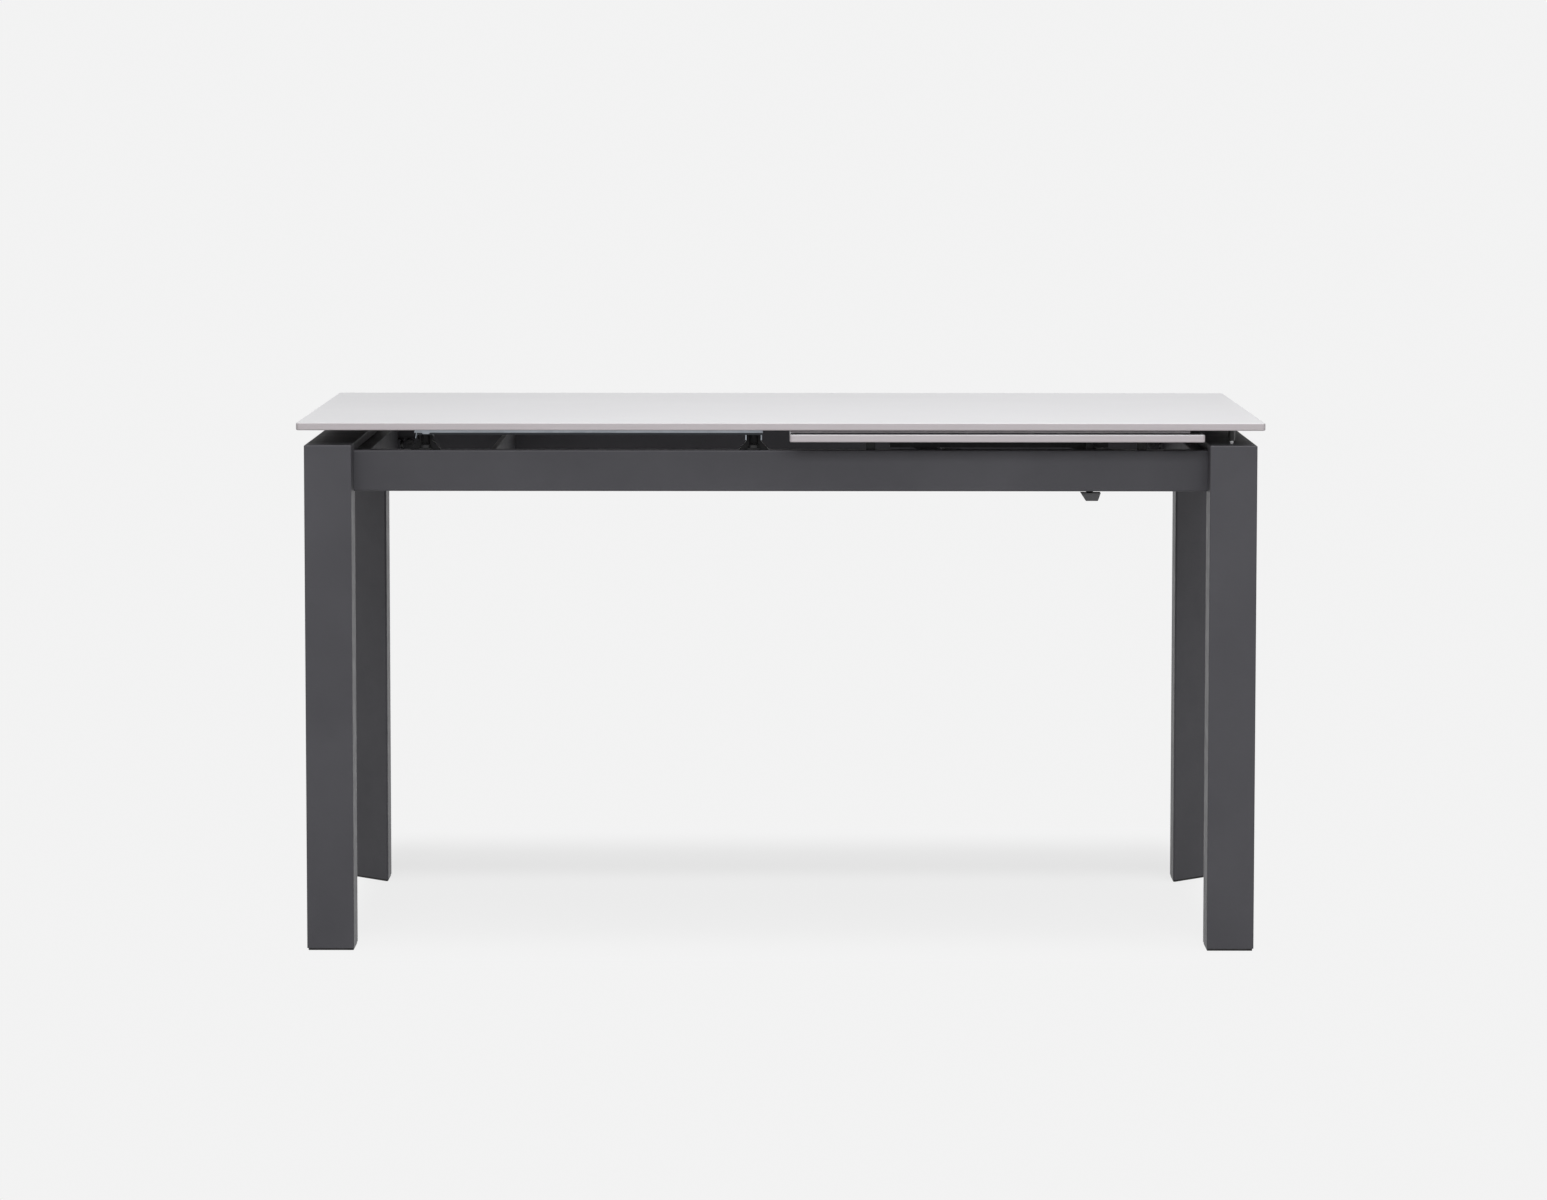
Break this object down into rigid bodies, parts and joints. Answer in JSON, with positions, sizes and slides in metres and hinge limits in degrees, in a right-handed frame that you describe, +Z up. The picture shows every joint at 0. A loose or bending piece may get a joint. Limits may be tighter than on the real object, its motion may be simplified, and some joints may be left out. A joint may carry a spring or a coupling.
{
  "type": "extending dining table",
  "caption": "Rectangular dining table on triangular steel legs; its top slides lengthwise on ball slides to free a leaf stored beneath, carried on parallel swing arms.",
  "frame": {"origin": "on the floor under the middle of the closed table top", "axes": "+X along the table towards the end that holds the leaf, -Y to the front, +Z up"},
  "size_m": [1.4, 0.8, 0.77],
  "materials": {
    "powder_coat": "fine matt graphite-grey powder coat on steel tube",
    "top_surface": "smooth matt light grey with eased edges",
    "zinc_sheet": "blue-white zinc plated sheet steel",
    "bright_steel": "bright turned steel",
    "zinc_plate": "zinc plated steel",
    "black_steel": "satin black painted steel",
    "black_plastic": "moulded black nylon",
    "black_rubber": "matt black rubber",
    "grey_pile": "dense grey wool pile on a woven backing"
  },
  "bodies": {
    "frame": {"front_left_leg": "powder_coat", "back_left_leg": "powder_coat", "front_right_leg": "powder_coat", "back_right_leg": "powder_coat", "foot_caps": "black_rubber", "left_end_beam": "powder_coat", "right_end_beam": "powder_coat", "front_apron": "powder_coat", "back_apron": "powder_coat", "left_cross_tube": "powder_coat", "middle_cross_tube": "powder_coat", "right_cross_tube": "powder_coat", "corner_brackets": "powder_coat", "corner_bolts": "black_steel", "front_slide_outer": "zinc_sheet", "back_slide_outer": "zinc_sheet", "slide_spacers": "black_plastic", "spacer_screws": "bright_steel", "spacer_foot_screws": "black_steel", "leaf_rest_pads": "black_rubber", "bumper_studs": "bright_steel", "top_bumpers": "black_rubber", "shaft_bearing_plates": "black_steel", "shaft_bushes": "black_plastic", "bearing_plate_screws": "black_steel", "latch_bracket": "zinc_plate", "latch_pin": "bright_steel", "latch_bracket_screws": "zinc_plate", "latch_spring": "bright_steel"},
    "slide_middles": {"front_slide_middle": "zinc_sheet", "back_slide_middle": "zinc_sheet"},
    "outer_ball_cages": {"front_outer_ball_cage": "bright_steel", "back_outer_ball_cage": "bright_steel"},
    "inner_ball_cages": {"front_inner_ball_cage": "bright_steel", "back_inner_ball_cage": "bright_steel"},
    "main_top": {"main_top_panel": "top_surface", "leaf_pile_strips": "grey_pile", "front_slide_inner": "zinc_sheet", "back_slide_inner": "zinc_sheet"},
    "left_arms": {"left_lift_shaft": "black_steel", "front_left_lift_arm": "black_steel", "back_left_lift_arm": "black_steel"},
    "right_arms": {"right_lift_shaft": "black_steel", "front_right_lift_arm": "black_steel", "back_right_lift_arm": "black_steel"},
    "leaf": {"leaf_panel": "top_surface", "front_leaf_rail": "black_steel", "back_leaf_rail": "black_steel", "leaf_pivot_pins": "black_steel", "leaf_pivot_clips": "black_steel", "latch_keeper": "black_steel"},
    "latch": {"latch_lever": "black_steel", "latch_grip": "black_plastic"}
  },
  "joints": [
    {"name": "top_slide", "type": "slide", "parent": "frame", "child": "main_top", "axis": [-1, 0, 0], "range_m": [0, 0.69]},
    {"name": "slide_middle_run", "type": "slide", "parent": "frame", "child": "slide_middles", "axis": [-1, 0, 0], "range_m": [0, 0.345]},
    {"name": "outer_cage_run", "type": "slide", "parent": "frame", "child": "outer_ball_cages", "axis": [-1, 0, 0], "range_m": [0, 0.1725]},
    {"name": "inner_cage_run", "type": "slide", "parent": "frame", "child": "inner_ball_cages", "axis": [-1, 0, 0], "range_m": [0, 0.5175]},
    {"name": "leaf_swing", "type": "hinge", "parent": "frame", "child": "left_arms", "pos_m": [0.25056, 0, 0.70691], "axis": [0, 1, 0], "range_deg": [0, 5.2], "deforming": ["leaf_pile_strips"]},
    {"name": "leaf_level", "type": "hinge", "parent": "left_arms", "child": "leaf", "pos_m": [0.2005, 0, 0.732], "axis": [0, 1, 0], "range_deg": [-5.2, 0]},
    {"name": "right_arm_swing", "type": "hinge", "parent": "frame", "child": "right_arms", "pos_m": [0.48156, 0, 0.70691], "axis": [0, 1, 0], "range_deg": [0, 5.2]},
    {"name": "latch_release", "type": "hinge", "parent": "frame", "child": "latch", "pos_m": [0.45506, -0.296, 0.69], "axis": [1, 0, 0], "range_deg": [0, 12], "stiffness_Nm_per_rad": 0.4, "springref_deg": -8.59}
  ],
  "couplings": [
    {"joint": "slide_middle_run", "follows": "top_slide", "ratio": 0.5},
    {"joint": "outer_cage_run", "follows": "top_slide", "ratio": 0.25},
    {"joint": "inner_cage_run", "follows": "top_slide", "ratio": 0.75},
    {"joint": "leaf_level", "follows": "leaf_swing", "ratio": -1},
    {"joint": "right_arm_swing", "follows": "leaf_swing", "ratio": 1}
  ]
}
